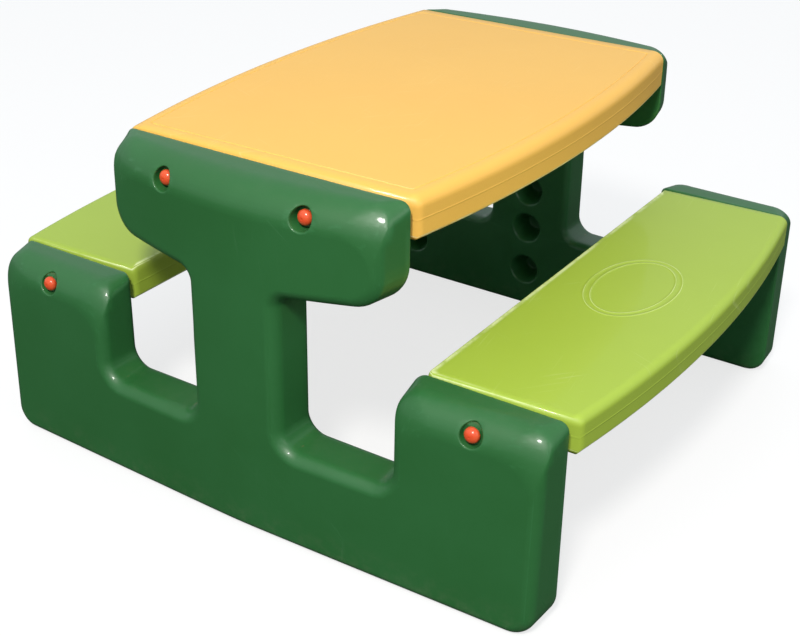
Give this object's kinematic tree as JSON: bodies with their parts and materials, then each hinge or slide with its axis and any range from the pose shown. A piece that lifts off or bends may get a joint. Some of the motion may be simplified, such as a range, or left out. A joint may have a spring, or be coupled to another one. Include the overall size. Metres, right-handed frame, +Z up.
{
  "type": "play table with benches",
  "caption": "Low moulded play table with a bow-sided top and a bow-sided bench along each side, carried by rounded end frames with stepped cut-outs and screwed together under domed caps",
  "frame": {"origin": "on the floor under the middle of the table top", "axes": "+X across the table from bench to bench, +Y from the near end frame to the far one, +Z up"},
  "size_m": [0.967, 0.873, 0.506],
  "materials": {
    "green_polyethylene": "satin",
    "yellow_polyethylene": "satin",
    "lime_polyethylene": "satin",
    "red_cap_plastic": "gloss",
    "zinc_steel": "satin"
  },
  "bodies": {
    "root": {"end_frame_near": "green_polyethylene", "end_frame_far": "green_polyethylene", "table_top": "yellow_polyethylene", "bench_left": "lime_polyethylene", "bench_right": "lime_polyethylene", "washer_table_near_left": "zinc_steel", "screw_table_near_left": "zinc_steel", "cap_table_near_left": "red_cap_plastic", "washer_table_near_right": "zinc_steel", "screw_table_near_right": "zinc_steel", "cap_table_near_right": "red_cap_plastic", "washer_table_far_left": "zinc_steel", "screw_table_far_left": "zinc_steel", "cap_table_far_left": "red_cap_plastic", "washer_table_far_right": "zinc_steel", "screw_table_far_right": "zinc_steel", "cap_table_far_right": "red_cap_plastic", "washer_bench_near_left": "zinc_steel", "screw_bench_near_left": "zinc_steel", "cap_bench_near_left": "red_cap_plastic", "washer_bench_near_right": "zinc_steel", "screw_bench_near_right": "zinc_steel", "cap_bench_near_right": "red_cap_plastic", "washer_bench_far_left": "zinc_steel", "screw_bench_far_left": "zinc_steel", "cap_bench_far_left": "red_cap_plastic", "washer_bench_far_right": "zinc_steel", "screw_bench_far_right": "zinc_steel", "cap_bench_far_right": "red_cap_plastic"}
  },
  "joints": []
}
